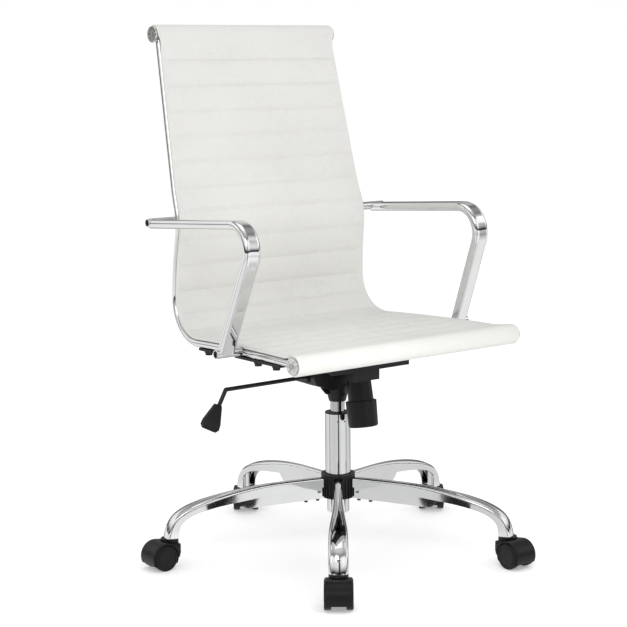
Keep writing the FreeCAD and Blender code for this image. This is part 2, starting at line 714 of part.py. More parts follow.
def tilt_top_plate():
    """Pressed pan that the seat bolts to, with two hinge webs and a yoke for the tension bolt."""
    floor = box(-95, 95, -105, 105, PLATE_TOP - 4.0, PLATE_TOP)
    front = box(-95, 95, -105, -101.5, 377, PLATE_TOP)
    rear = box(-95, 95, 102, 105, 396, PLATE_TOP)
    flange = [(-105, PLATE_TOP), (-105, 377), (-70, 384), (-30, 396), (105, 396), (105, PLATE_TOP)]
    right = slab(flange, 92, 95)
    left = slab(flange, -95, -92)
    web = [(-86, PLATE_TOP), (-86, 369), (-60, 366), (-26, 366), (-26, PLATE_TOP)]
    webs = [slab(web, 21.5, 25.5), slab(web, -25.5, -21.5)]
    yoke = placed(box(-25.5, 25.5, -15, 15, YOKE_TOP - 4.0, YOKE_TOP), knob_frame())
    whole = fuse([floor, front, rear, right, left, yoke] + webs)
    whole = whole.cut(cross_rod(5.05, -60, 60, *PIVOT))
    whole = whole.cut(placed(upright(YOKE_HOLE_R, 45, 75), knob_frame()))
    for x, y in plate_bolt_places():
        for side in (-1, 1):
            whole = whole.cut(upright(3.1, 390, 420, side * x, y))
    return whole


def spring_barrel():
    """Black sleeve below the housing's nose, round the tension spring."""
    outside = Part.makeCone(25.2, 23.0, 59.0, V(0, 0, -15.0))
    shape = outside.cut(upright(20.5, -16, 38))
    shape = shape.cut(upright(7.5, 30, 60))
    shape = placed(shape, knob_frame())
    return shape.cut(box(-60, 60, -140, 0, 354.4, 420))


def tension_spring():
    """Coil of round wire between the barrel's roof and the spring seat."""
    helix = Part.makeHelix(9.0, 44.0, 15.0)
    wire = Part.Wire(Part.makeCircle(2.6, V(15.0, 0, 0), V(0, 1, 0)))
    coil = Part.Wire(helix.Edges).makePipeShell([wire], True, True)
    return placed(coil.translated(V(0, 0, -9.5)), knob_frame())


def spring_seat():
    return placed(ring(18.5, 5.3, -16.0, -12.6), knob_frame())


def tension_bolt():
    """Bolt with a ball-shaped head that rocks in the top plate's yoke."""
    ball_centre = YOKE_TOP + math.sqrt(BOLT_BALL_R ** 2 - YOKE_HOLE_R ** 2) + 1.1
    ball = Part.makeSphere(BOLT_BALL_R, V(0, 0, ball_centre))
    head = ball.common(upright(20.0, YOKE_TOP - 3.0, ball_centre + 5.0))
    shank = upright(5.0, -40.0, ball_centre)
    return placed(fuse([shank, head]), knob_frame())


def tension_knob():
    """Fluted hand knob; its rim slides over the barrel's lower end, its boss carries the spring seat."""
    outside = Part.makeCone(28.5, 30.0, 50.0, V(0, 0, -50.0))
    outside = outside.makeChamfer(2.0, [e for e in outside.Edges if e.BoundBox.ZMax < -49.9])
    for k in range(12):
        flute = upright(2.2, -46.0, 1.0, 31.2, 0)
        outside = outside.cut(turned(flute, V(0, 0, 0), UP, 30.0 * k))
    recess = upright(26.4, -22.6, 1).cut(upright(19.5, -23.0, -16.3))
    shape = outside.cut(recess)
    shape = shape.cut(upright(5.15, -60, 1))
    return placed(shape, knob_frame())


def lever_bush():
    """Guide fixed on the lever rod; it rocks with the rod in the housing's window."""
    shape = box(LEVER_PIVOT_X - 3, LEVER_PIVOT_X + 14, -7.5, 7.5, LEVER_Z - 7.5, LEVER_Z + 7.5)
    shape = shape.makeFillet(2.0, shape.Edges)
    pivot = Part.makeCylinder(7.4, 15.0, V(LEVER_PIVOT_X, -7.5, LEVER_Z), V(0, 1, 0))
    shape = fuse([shape, pivot])
    return shape.cut(cross_rod(LEVER_R + 0.08, LEVER_PIVOT_X - 20, 0, 0, LEVER_Z))


LEVER_END = (V(-265, 0, LEVER_Z), V(-285, 0, 322.0))


def lever_rod():
    """Bent steel rod: inner finger over the release button, long run, and drop to the paddle."""
    points = (V(9, 0, 374.4), V(-12, 0, 374.4), V(-26, 0, LEVER_Z), *LEVER_END)
    pieces = []
    for start, end in zip(points[:-1], points[1:]):
        pieces.append(rod(LEVER_R, start, end))
    for corner in points[1:-1]:
        pieces.append(Part.makeSphere(LEVER_R, corner))
    return fuse(pieces)


def lever_paddle():
    """Black faceted grip that widens downwards."""
    stations = ((0.0, 15.0, 11.0), (4.0, 18.0, 14.0), (34.0, 38.0, 19.0), (44.0, 40.0, 18.0), (50.0, 30.0, 12.0))
    sections = []
    for drop, width, thickness in stations:
        sections.append(octagon(drop, width, thickness))
    shape = Part.makeLoft(sections, True, True)
    shape = turned(shape, V(0, 0, 0), V(0, 1, 0), PADDLE_LEAN).translated(V(-282.5, 0, 331.5))
    return shape.cut(rod(LEVER_R + 0.02, *LEVER_END))


def octagon(drop, width, thickness):
    w = width / 2.0
    t = thickness / 2.0
    cut = min(w, t) * 0.55
    corners = ((w, -t + cut), (w, t - cut), (w - cut, t), (cut - w, t), (-w, t - cut), (-w, cut - t),
               (cut - w, -t), (w - cut, -t))
    points = [V(x, y, -drop) for x, y in corners]
    return Part.makePolygon(points + [points[0]])


# ---- casters -----------------------------------------------------------------------------
def caster_stem():
    """Steel stem and its flange, fixed in the leg's socket."""
    return fuse([upright(STEM_R, 38.0, 82.0, 0, 0), upright(9.0, HOOD_TOP + 0.3, 58.2, 0, 0)])


def caster_stems():
    shapes = []
    for k in range(LEG_COUNT):
        stem = caster_stem().translated(V(0, -STEM_CIRCLE_R, 0))
        shapes.append(about_column(stem, leg_angle(k)))
    return Part.makeCompound(shapes)


def hood_outline():
    """Side outline: round over the wheels, upright on the stem's side."""
    y, z = -CASTER_TRAIL, WHEEL_R
    disc = Part.Face(Part.Wire(Part.makeCircle(HOOD_R, V(0, y, z), V(1, 0, 0))))
    wall = polygon_yz([(y, z - 3.0), (HOOD_R + y + 2.0, z - 3.0), (9.5, z + 6.0), (9.5, HOOD_TOP - 8.0), (y + 8.0, HOOD_TOP - 4.0)])
    return disc.fuse(wall).removeSplitter().Faces[0]


def caster_hood():
    """Plastic hood over a wheel pair that trails towards -Y from the stem at the origin."""
    y, z = -CASTER_TRAIL, WHEEL_R
    half = HOOD_HALF_WIDTH
    drum = hood_outline().translated(V(-half, 0, 0)).extrude(V(2 * half, 0, 0))
    rims = [e for e in drum.Edges if e.BoundBox.XMax - e.BoundBox.XMin < 0.1]
    drum = drum.makeFillet(5.0, rims)
    neck = upright(18.0, 40.0, HOOD_TOP).cut(box(-30, 30, 9.5, 30, 30, 70))
    whole = fuse([drum, neck])
    for side in (-1, 1):
        whole = whole.cut(cross_rod(WHEEL_R + 0.9, side * (WHEEL_INNER_X - 0.5), side * 40, y, z))
    whole = whole.cut(slab([(-70, -10), (-70, 17), (y - 8.0, 9.0), (y + 8.0, 9.0), (20, 17), (20, -10)], -40, 40))
    whole = whole.cut(cross_rod(3.02, -60, 60, y, z))
    return whole.cut(upright(STEM_R + 0.06, 36.0, 60.0))


def caster_wheels():
    """Twin wheels: rounded tread, a dished outer face and a blind bore for the axle."""
    shapes = []
    y, z = -CASTER_TRAIL, WHEEL_R
    for side in (-1, 1):
        x0 = side * WHEEL_INNER_X
        x1 = side * WHEEL_OUTER_X
        wheel = cross_rod(WHEEL_R, x0, x1, y, z)
        wheel = wheel.makeFillet(2.5, [e for e in wheel.Edges if abs(e.BoundBox.XMax - e.BoundBox.XMin) < 0.1])
        groove = cross_rod(20.0, x1 - side * 0.9, x1 + side * 2, y, z)
        groove = groove.cut(cross_rod(18.6, x1 - side * 2, x1 + side * 3, y, z))
        wheel = wheel.cut(groove).cut(cross_rod(3.05, 0, x1 - side * 3.0, y, z))
        shapes.append(wheel)
    return shapes


def caster_axle():
    half = WHEEL_OUTER_X - 3.5
    return cross_rod(3.0, -half, half, -CASTER_TRAIL, WHEEL_R)


def at_caster(shape, k):
    """Moves a caster piece to leg k, trailing the way that caster points."""
    trailing = about_column(shape, TRAIL_ANGLES[k])
    angle = math.radians(leg_angle(k))
    return trailing.translated(V(STEM_CIRCLE_R * math.sin(angle), -STEM_CIRCLE_R * math.cos(angle), 0))


# ---- every piece -------------------------------------------------------------------------
def all_parts():
    right_arm = arm()
    right_rail = side_rail()
    parts = {
        "left_rail": mirrored(right_rail),
        "right_rail": right_rail,
        "front_roll_tube": roll_tube(FRONT_CENTRE, FRONT_CAP_X),
        "top_roll_tube": roll_tube(TOP_CENTRE, TOP_CAP_X),
        "roll_end_caps": all_caps(roll_cap),
        "cap_screws": all_caps(cap_screw),
        "upholstery": upholstery(),
        "back_stretcher": back_stretcher(),
        "front_cross_bar": cross_bar(*FRONT_BAR_Y),
        "middle_cross_bar": cross_bar(*MIDDLE_BAR_Y),
        "rear_cross_bar": cross_bar(*REAR_BAR_Y),
        "seat_bolts": seat_bolts(),
        "right_arm": right_arm,
        "left_arm": mirrored(right_arm),
        "arm_end_plugs": arm_plugs(),
        "arm_bolts": arm_bolts(),
        "tilt_top_plate": tilt_top_plate(),
        "tilt_housing": tilt_housing(),
        "tilt_pivot_pin": pivot_pin(),
        "spring_barrel": spring_barrel(),
        "tension_spring": tension_spring(),
        "spring_seat": spring_seat(),
        "tension_bolt": tension_bolt(),
        "tension_knob": tension_knob(),
        "lever_bush": lever_bush(),
        "lever_rod": lever_rod(),
        "lever_paddle": lever_paddle(),
        "lift_tube": lift_tube(),
        "lift_bush": lift_bush(),
        "lift_cylinder": lift_cylinder(),
        "release_button": release_button(),
        "piston_rod": piston_rod(),
        "thrust_bearing": thrust_bearing(),
        "retaining_clip": retaining_clip(),
        "hub": hub(),
        "leg_screws": leg_screws(),
        "caster_stems": caster_stems(),
    }
    one_leg = leg()
    hood = caster_hood()
    wheels = Part.makeCompound(caster_wheels())
    axle = caster_axle()
    for k in range(LEG_COUNT):
        parts["leg_%d" % (k + 1)] = about_column(one_leg, leg_angle(k))
        parts["caster_%d_hood" % (k + 1)] = at_caster(hood, k)
        parts["caster_%d_wheels" % (k + 1)] = at_caster(wheels, k)
        parts["caster_%d_axle" % (k + 1)] = at_caster(axle, k)
    return parts


for name, shape in all_parts().items():
    if not shape.isValid():
        print("not valid:", name)
    print("%-18s solids %2d  volume %9.1f" % (name, len(shape.Solids), shape.Volume))
    shape.exportStep(os.path.join("parts", name + ".step"))
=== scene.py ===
import json
import math

import bpy
from mathutils import Matrix, Vector, noise


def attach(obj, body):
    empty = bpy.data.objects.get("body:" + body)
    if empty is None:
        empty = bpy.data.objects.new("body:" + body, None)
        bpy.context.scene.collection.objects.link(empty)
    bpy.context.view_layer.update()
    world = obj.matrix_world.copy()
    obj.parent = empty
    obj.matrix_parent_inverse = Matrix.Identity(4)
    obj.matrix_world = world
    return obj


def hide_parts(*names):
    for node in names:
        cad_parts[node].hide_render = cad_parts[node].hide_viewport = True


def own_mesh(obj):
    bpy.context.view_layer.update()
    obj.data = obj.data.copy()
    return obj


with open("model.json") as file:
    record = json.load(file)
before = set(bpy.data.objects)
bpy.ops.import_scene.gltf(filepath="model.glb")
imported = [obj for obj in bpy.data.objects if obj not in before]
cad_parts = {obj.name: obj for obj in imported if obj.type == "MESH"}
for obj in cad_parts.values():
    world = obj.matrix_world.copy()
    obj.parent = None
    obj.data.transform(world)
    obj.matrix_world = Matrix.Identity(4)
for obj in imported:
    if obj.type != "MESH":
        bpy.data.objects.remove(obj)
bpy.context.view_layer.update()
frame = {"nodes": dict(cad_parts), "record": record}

NODES = frame["nodes"]
MM = 0.001

# ---- seat profile, as the CAD has it (millimetres) ---------------------------------------
FRONT_ROLL = (-214.0, 432.0)
RAIL_OUTER_X = 265.0
RAIL_IN_PER_Y = 0.0587
RAIL_IN_PER_Z = 0.0385
RAIL_HALF_DEPTH = 6.5
SEAT_HEADING = 0.8
PATH = (                      # (arc radius or None for straight, turn in degrees or length)
    (344.0 / math.radians(3.6), -3.6),
    (86.5, 92.8),
    (600.0, 8.0),
    (None, 25.0),
    (130.0, -28.0),
    (400.0, 7.0),
    (None, 294.0),
)
ROLL_TUBE_R = 14.0
SLING_GAP = 0.8
PAD_THICKNESS = 8.0
WRAP_R = 19.3                 # leather round a roll, a little inside the CAD's
INNER_WRAP_R = ROLL_TUBE_R + 0.5
FRONT_WRAP_X = 268.1
TOP_WRAP_X = 218.1
PROFILE_INSET = 8.0           # how far inside the rail's outer face the profile is taken


def heading_vector(degrees):
    return Vector((math.cos(math.radians(degrees)), math.sin(math.radians(degrees))))


def normal_vector(degrees):
    return heading_vector(degrees + 90.0)


def rail_line(step):
    """Evenly spaced samples along the rail's centre line: (distance, point, heading)."""
    samples = []
    point, degrees, distance = Vector((0.0, 0.0)), SEAT_HEADING, 0.0
    for radius, amount in PATH:
        length = amount if radius is None else radius * math.radians(abs(amount))
        count = max(2, int(round(length / step)))
        for i in range(count):
            t = length * i / count
            if radius is None:
                samples.append((distance + t, point + heading_vector(degrees) * t, degrees))
            else:
                side = 1.0 if amount > 0 else -1.0
                centre = point + normal_vector(degrees) * (side * radius)
                here = degrees + amount * i / count
                samples.append((distance + t, centre - normal_vector(here) * (side * radius), here))
        if radius is None:
            point = point + heading_vector(degrees) * length
        else:
            side = 1.0 if amount > 0 else -1.0
            centre = point + normal_vector(degrees) * (side * radius)
            degrees += amount
            point = centre - normal_vector(degrees) * (side * radius)
        distance += length
    samples.append((distance, point, degrees))
    return samples


LEAN_NORMAL = Vector((1.0, -RAIL_IN_PER_Y, -RAIL_IN_PER_Z)).normalized()
LEAN = Vector((1.0, 0.0, 0.0)).rotation_difference(LEAN_NORMAL)
LEAN_ORIGIN = Vector((-RAIL_OUTER_X, FRONT_ROLL[0], FRONT_ROLL[1]))


def to_world(point):
    """Side profile point to y, z in the chair's frame, taken on the leaning rail."""
    place = LEAN_ORIGIN + LEAN @ Vector((PROFILE_INSET, point.x, point.y))
    return Vector((place.y, place.z))


def rail_outer_x(y, z):
    return RAIL_OUTER_X - RAIL_IN_PER_Y * (y - FRONT_ROLL[0]) - RAIL_IN_PER_Z * (z - FRONT_ROLL[1])


def smooth(t):
    t = min(max(t, 0.0), 1.0)
    return t * t * (3.0 - 2.0 * t)


# ---- mesh helpers ------------------------------------------------------------------------
def new_object(name, vertices, faces, material, body):
    """A smooth-shaded mesh object that rides on a body."""
    mesh = bpy.data.meshes.new(name)
    mesh.from_pydata([tuple(v) for v in vertices], [], faces)
    mesh.update()
    obj = bpy.data.objects.new(name, mesh)
    bpy.context.scene.collection.objects.link(obj)
    mesh.materials.append(material)
    mesh.polygons.foreach_set("use_smooth", [True] * len(mesh.polygons))
    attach(obj, body)
    return obj


# ---- material helpers --------------------------------------------------------------------
NOISE_ROUGHNESS = 0.55


class Shader:
    """A node material with a Principled shader and short ways to add detail to it."""

    def __init__(self, name, **values):
        self.material = bpy.data.materials.new(name)
        self.material.use_nodes = True
        self.tree = self.material.node_tree
        self.bsdf = self.tree.nodes["Principled BSDF"]
        coords = self.tree.nodes.new("ShaderNodeTexCoord")
        self.position = coords.outputs["Object"]
        for socket, value in values.items():
            self.bsdf.inputs[socket.replace("_", " ")].default_value = value

    def node(self, kind, **values):
        made = self.tree.nodes.new(kind)
        for name, value in values.items():
            made.inputs[name.replace("_", " ")].default_value = value
        return made

    def link(self, start, end):
        self.tree.links.new(start, end)

    def noise(self, scale, detail=3.0, stretch=None):
        made = self.node("ShaderNodeTexNoise", Scale=scale, Detail=detail, Roughness=NOISE_ROUGHNESS)
        source = self.position
        if stretch:
            mapping = self.tree.nodes.new("ShaderNodeMapping")
            mapping.inputs["Scale"].default_value = stretch
            self.link(self.position, mapping.inputs["Vector"])
            source = mapping.outputs["Vector"]
        self.link(source, made.inputs["Vector"])
        return made.outputs["Fac"]

    def cells(self, scale, feature):
        made = self.node("ShaderNodeTexVoronoi", Scale=scale, Randomness=1.0)
        made.feature = feature
        self.link(self.position, made.inputs["Vector"])
        return made.outputs["Distance"]

    def spread(self, value, low, high, start=0.0, end=1.0):
        made = self.tree.nodes.new("ShaderNodeMapRange")
        made.inputs["From Min"].default_value = start
        made.inputs["From Max"].default_value = end
        made.inputs["To Min"].default_value = low
        made.inputs["To Max"].default_value = high
        self.link(value, made.inputs["Value"])
        return made.outputs["Result"]

    def math(self, operation, a, b):
        made = self.tree.nodes.new("ShaderNodeMath")
        made.operation = operation
        for k, value in enumerate((a, b)):
            if isinstance(value, (int, float)):
                made.inputs[k].default_value = value
            else:
                self.link(value, made.inputs[k])
        return made.outputs["Value"]

    def colours(self, value, stops):
        made = self.tree.nodes.new("ShaderNodeValToRGB")
        ramp = made.color_ramp
        while len(ramp.elements) < len(stops):
            ramp.elements.new(0.5)
        for element, (place, colour) in zip(ramp.elements, stops):
            element.position = place
            element.color = (*colour, 1.0)
        self.link(value, made.inputs["Fac"])
        self.link(made.outputs["Color"], self.bsdf.inputs["Base Color"])

    def rough(self, value, low, high):
        self.link(self.spread(value, low, high, 0.25, 0.75), self.bsdf.inputs["Roughness"])

    def relief(self, height, strength, distance):
        made = self.node("ShaderNodeBump", Strength=strength, Distance=distance)
        self.link(height, made.inputs["Height"])
        self.link(made.outputs["Normal"], self.bsdf.inputs["Normal"])


def chrome(name, tint, rough_low, rough_high, wave=0.12):
    shader = Shader(name, Metallic=1.0)
    broad = shader.noise(9.0, 2.0)
    fine = shader.noise(420.0, 4.0)
    shader.colours(broad, ((0.3, tuple(c * 0.94 for c in tint)), (0.7, tint)))
    shader.rough(shader.noise(55.0, 3.0), rough_low, rough_high)
    polish = shader.math("MULTIPLY", fine, 0.02)
    waves = shader.math("MULTIPLY", shader.noise(24.0, 1.0), 0.5)
    height = shader.math("ADD", polish, waves)
    shader.relief(height, wave, 0.0006)
    return shader.material


def leather():
    shader = Shader("off_white_leather", Coat_Weight=0.04, Coat_Roughness=0.4, Sheen_Weight=0.05,
                    Sheen_Roughness=0.5, Specular_IOR_Level=0.3)
    pebble = shader.cells(620.0, "SMOOTH_F1")
    creases = shader.cells(430.0, "DISTANCE_TO_EDGE")
    broad = shader.noise(5.0, 3.0)
    mottle = shader.noise(85.0, 5.0)
    # low along the grain's creases: it sets their depth in the relief and a painted shade in the colour
    crease_height_and_shade = shader.spread(creases, 0.0, 1.0, 0.0, 0.16)
    mixed = shader.math("ADD", shader.math("MULTIPLY", broad, 0.62), shader.math("MULTIPLY", mottle, 0.28))
    # painted shade: the leather's colour is made a little darker along the grain's creases
    mixed = shader.math("ADD", mixed, shader.math("MULTIPLY", crease_height_and_shade, 0.10))
    shader.colours(mixed, ((0.30, (0.690, 0.684, 0.655)),
                           (0.55, (0.738, 0.733, 0.706)),
                           (0.78, (0.765, 0.761, 0.738))))
    shader.rough(shader.noise(38.0, 4.0), 0.44, 0.58)
    grain = shader.math("SUBTRACT", shader.math("MULTIPLY", crease_height_and_shade, 0.9), shader.math("MULTIPLY", pebble, 0.5))
    relief = shader.math("ADD", grain, shader.math("MULTIPLY", shader.noise(1500.0, 3.0), 0.25))
    shader.relief(relief, 0.5, 0.0003)
    return shader.material


def sewing_thread():
    shader = Shader("off_white_thread", Sheen_Weight=0.2, Specular_IOR_Level=0.25)
    shader.colours(shader.noise(260.0, 3.0), ((0.3, (0.56, 0.55, 0.52)), (0.7, (0.68, 0.67, 0.64))))
    shader.rough(shader.noise(400.0, 3.0), 0.55, 0.8)
    shader.relief(shader.noise(2600.0, 2.0, stretch=(1.0, 6.0, 6.0)), 0.4, 0.0002)
    return shader.material


def black_plastic(name, level, rough_low, rough_high, grain=900.0, strength=0.35):
    shader = Shader(name, Specular_IOR_Level=0.24)
    dark = (level, level, level * 1.04)
    shader.colours(shader.noise(14.0, 5.0), ((0.3, tuple(c * 0.8 for c in dark)),
                                             (0.7, tuple(c * 1.25 for c in dark))))
    shader.rough(shader.noise(70.0, 4.0), rough_low, rough_high)
    pebble = shader.cells(grain, "SMOOTH_F1")
    fine = shader.math("MULTIPLY", shader.noise(grain * 2.0), 0.6)
    height = shader.math("ADD", pebble, fine)
    shader.relief(height, strength, 0.00025)
    return shader.material


def painted_steel(name, level, rough_low, rough_high):
    shader = Shader(name, Coat_Weight=0.05, Coat_Roughness=0.3, Specular_IOR_Level=0.3)
    dark = (level, level, level)
    shader.colours(shader.noise(22.0, 6.0), ((0.3, tuple(c * 0.8 for c in dark)),
                                             (0.7, tuple(c * 1.3 for c in dark))))
    shader.rough(shader.noise(60.0, 4.0), rough_low, rough_high)
    shader.relief(shader.noise(650.0, 2.0), 0.25, 0.0003)
    return shader.material


def plain_steel(name, tint, rough_low, rough_high, stretch=(1.0, 1.0, 1.0)):
    shader = Shader(name, Metallic=1.0)
    shader.colours(shader.noise(30.0, 5.0), ((0.3, tuple(c * 0.82 for c in tint)), (0.7, tint)))
    shader.rough(shader.noise(120.0, 4.0, stretch=stretch), rough_low, rough_high)
    shader.relief(shader.noise(800.0, 3.0, stretch=stretch), 0.15, 0.0002)
    return shader.material


MATERIALS = {
    "chrome_frame": chrome("chrome_tube", (0.74, 0.745, 0.745), 0.03, 0.07),
    "chrome_caps": chrome("chrome_turned_caps", (0.66, 0.66, 0.65), 0.12, 0.22, 0.05),
    "chrome_arms": chrome("chrome_arm_tube", (0.74, 0.745, 0.745), 0.04, 0.09),
    "chrome_base": chrome("chrome_pressed_legs", (0.74, 0.745, 0.745), 0.04, 0.09, 0.22),
    "cream_leather": leather(),
    "black_steel": painted_steel("black_powder_coat", 0.006, 0.38, 0.55),
    "black_bolts": painted_steel("black_oxide_bolts", 0.014, 0.30, 0.45),
    "black_plastic": black_plastic("black_moulded_plastic", 0.006, 0.36, 0.50),
    "caster_plastic": black_plastic("caster_hood_plastic", 0.006, 0.30, 0.44, 1100.0, 0.2),
    "caster_wheel": black_plastic("caster_wheel_plastic", 0.005, 0.34, 0.50, 1100.0, 0.2),
    "black_rod": painted_steel("black_lever_rod", 0.010, 0.28, 0.42),
    "zinc_steel": plain_steel("zinc_plated_steel", (0.50, 0.50, 0.48), 0.25, 0.42),
    "bright_steel": plain_steel("ground_steel", (0.58, 0.58, 0.58), 0.08, 0.16, (1.0, 1.0, 12.0)),
    "spring_steel": plain_steel("oiled_spring_steel", (0.25, 0.25, 0.26), 0.3, 0.45),
    "bearing_steel": plain_steel("bearing_steel", (0.55, 0.55, 0.55), 0.2, 0.3),
}

for entry in frame["record"]["subparts"]:
    if entry["node"] == "upholstery":
        continue
    node = NODES[entry["node"]]
    for k in range(max(1, len(node.material_slots))):
        if node.material_slots:
            node.material_slots[k].material = MATERIALS[entry["material_slot"]]
        else:
            node.data.materials.append(MATERIALS[entry["material_slot"]])


# ---- the leather sling -------------------------------------------------------------------
SEAM_FROM_TOP = 54.0          # the highest seam, down the sling from its upper end
SEAM_SPACING = 50.5
LAST_SEAM_MARGIN = 40.0       # no seam is nearer than this to the front roll
SEAM_WANDER = 0.9
GROOVE_DEPTH = 1.9
GROOVE_HALF = 3.6
GROOVE_SHARPNESS = 1.4
PANEL_CROWN = 0.8
EDGE_FLAT = 3.0               # the outermost strip has no ribs
EDGE_BORDER = 8.0             # over which the ribs fade in
BROAD_RIPPLE = 0.25
CROSS_RIPPLE = 0.22
STEP = 3.2                    # between two sections of the sling
WRAP_TURN = 188.0             # degrees that the leather goes round a roll
WRAP_STEPS = 26
WRAP_BLEND = 46.0             # over which the sling thickens into its wrap round a roll
WIDTH_BLEND = 20.0            # over which it takes the roll's width
RAIL_EDGE_GAP = 1.5
SLING_COLUMNS = 120
EDGE_STEPS = 7                # round the sling's side edge

PUFF_EVERY = 2                # every second section is a row of the simulated cloth
PUFF_COLUMNS = 72
PUFF_FRAMES = 16
PUFF_CAP = 1.6
SEWN_MARGIN = 0.05
RIBBED_FROM = 0.35            # sections with less rib than this are held still
CLOTH_SETTINGS = {
    "quality": 6,
    "mass": 0.3,
    "tension_stiffness": 25.0,
    "compression_stiffness": 12.0,
    "shear_stiffness": 8.0,
    "bending_stiffness": 0.4,
    "shrink_min": -0.012,
    "use_pressure": True,
    "uniform_pressure_force": 3.0,
}

STITCH_PITCH = 4.6
STITCH_R = 0.42
STITCH_MARGIN = 12.0          # from the last stitch to the sling's edge
STITCH_LIFT = 0.35            # share of its radius that a stitch is raised off the groove
STITCH_SIDES = 6
STITCH_RINGS = ((-0.42, 0.35), (-0.25, 1.0), (0.25, 1.0), (0.42, 0.35))   # place along, size


def roll_wrap(centre, degrees, half, angles):
    """Sections of the leather round a roll, at angles in degrees from the rail's normal."""
    normal, along = normal_vector(degrees), heading_vector(degrees)
    sections = []
    for angle in angles:
        way = normal * math.cos(math.radians(angle)) + along * math.sin(math.radians(angle))
        sections.append((centre + way * WRAP_R, centre + way * INNER_WRAP_R, half, None, 0.0))
    return sections


def sling_sections():
    """Side sections of the sling from under the front roll to behind the top roll.

    Each is (outer y z, inner y z, half width, distance along the rail, rib amount).
    """
    line = rail_line(STEP)
    total = line[-1][0]
    front, top = Vector(FRONT_ROLL), to_world(line[-1][1])
    angles = [-WRAP_TURN + WRAP_TURN * i / WRAP_STEPS for i in range(WRAP_STEPS)]
    sections = roll_wrap(front, line[0][2], FRONT_WRAP_X, angles)
    for distance, point, degrees in line:
        to_end = total - distance
        near = max(1.0 - smooth(distance / WRAP_BLEND), 1.0 - smooth(to_end / WRAP_BLEND))
        outer = RAIL_HALF_DEPTH + SLING_GAP + PAD_THICKNESS
        outer += (WRAP_R - outer) * near
        inner = RAIL_HALF_DEPTH + SLING_GAP
        inner += (INNER_WRAP_R - inner) * near
        normal = normal_vector(degrees)
        outside, inside = to_world(point + normal * outer), to_world(point + normal * inner)
        half = rail_outer_x(outside.x, outside.y) - RAIL_EDGE_GAP
        wrap = FRONT_WRAP_X if distance < total / 2 else TOP_WRAP_X
        half += (wrap - half) * max(1.0 - smooth(distance / WIDTH_BLEND), 1.0 - smooth(to_end / WIDTH_BLEND))
        sections.append((outside, inside, half, distance, 1.0 - near))
    angles = [WRAP_TURN * i / WRAP_STEPS for i in range(1, WRAP_STEPS + 1)]
    sections += roll_wrap(top, line[-1][2], TOP_WRAP_X, angles)
    return sections, total


def seam_wobble(x, distance):
    return SEAM_WANDER * noise.noise(Vector((x * 0.012, distance * 0.004, 3.0)))


def last_seam(total):
    return int((total - LAST_SEAM_MARGIN - SEAM_FROM_TOP) / SEAM_SPACING)


def rib_depth(distance, total, x, half):
    """How far the leather lies below its full height, at a place on the sitter's side."""
    place = total - distance - SEAM_FROM_TOP + seam_wobble(x, distance)
    offset = place / SEAM_SPACING
    nearest = abs(offset - round(offset)) * SEAM_SPACING
    groove = 0.0
    if 0 <= round(offset) <= last_seam(total):
        groove = GROOVE_DEPTH * math.exp(-(nearest / GROOVE_HALF) ** 2 * GROOVE_SHARPNESS)
    crown = PANEL_CROWN * (1.0 - math.cos(math.pi * min(nearest / (SEAM_SPACING / 2.0), 1.0))) / 2.0
    edge = half - abs(x)
    fade = smooth((edge - EDGE_FLAT) / EDGE_BORDER)
    ripple = BROAD_RIPPLE * noise.noise(Vector((x * 0.03, distance * 0.05, 9.0)))
    ripple += CROSS_RIPPLE * noise.noise(Vector((x * 0.007, distance * 0.085, 21.0)))
    return (groove + PANEL_CROWN - crown) * fade + PANEL_CROWN * (1.0 - fade) * 0.5 + ripple * fade


def sheet_place(section, fraction):
    """Point on the sitter's side of a section; the fraction runs from -1 to 1 across it."""
    outer, inner, half = section[:3]
    thick = (outer - inner).length / 2.0
    return Vector(((half - thick) * fraction, outer.x, outer.y))


def cloth_grid(rows, total):
    """Points, faces and pin weights of the leather's open grid: seams and rim are held."""
    points, weights, faces = [], [], []
    for r, section in enumerate(rows):
        for c in range(PUFF_COLUMNS + 1):
            points.append(sheet_place(section, -1.0 + 2.0 * c / PUFF_COLUMNS) * MM)
            wobble = seam_wobble(points[-1].x / MM, section[3])
            place = (total - section[3] - SEAM_FROM_TOP + wobble) / SEAM_SPACING
            nearest = abs(place - round(place)) * SEAM_SPACING
            near_line = nearest <= PUFF_EVERY * STEP / 2.0 + SEWN_MARGIN
            on_seam = near_line and 0 <= round(place) <= last_seam(total)
            rim = c in (0, PUFF_COLUMNS) or r in (0, len(rows) - 1) or section[4] < RIBBED_FROM
            weights.append(1.0 if on_seam or rim else 0.0)
    for r in range(len(rows) - 1):
        for c in range(PUFF_COLUMNS):
            a = r * (PUFF_COLUMNS + 1) + c
            faces.append((a, a + 1, a + PUFF_COLUMNS + 2, a + PUFF_COLUMNS + 1))
    return points, faces, weights


def add_cloth(obj, weights):
    """Cloth with pressure and no gravity, held where the weights say."""
    group = obj.vertex_groups.new(name="sewn")
    for k, weight in enumerate(weights):
        group.add([k], weight, "REPLACE")
    modifier = obj.modifiers.new("cloth", "CLOTH")
    for name, value in CLOTH_SETTINGS.items():
        setattr(modifier.settings, name, value)
    modifier.settings.effector_weights.gravity = 0.0
    modifier.settings.vertex_group_mass = "sewn"
    modifier.collision_settings.use_collision = False
    modifier.point_cache.frame_start, modifier.point_cache.frame_end = 1, PUFF_FRAMES


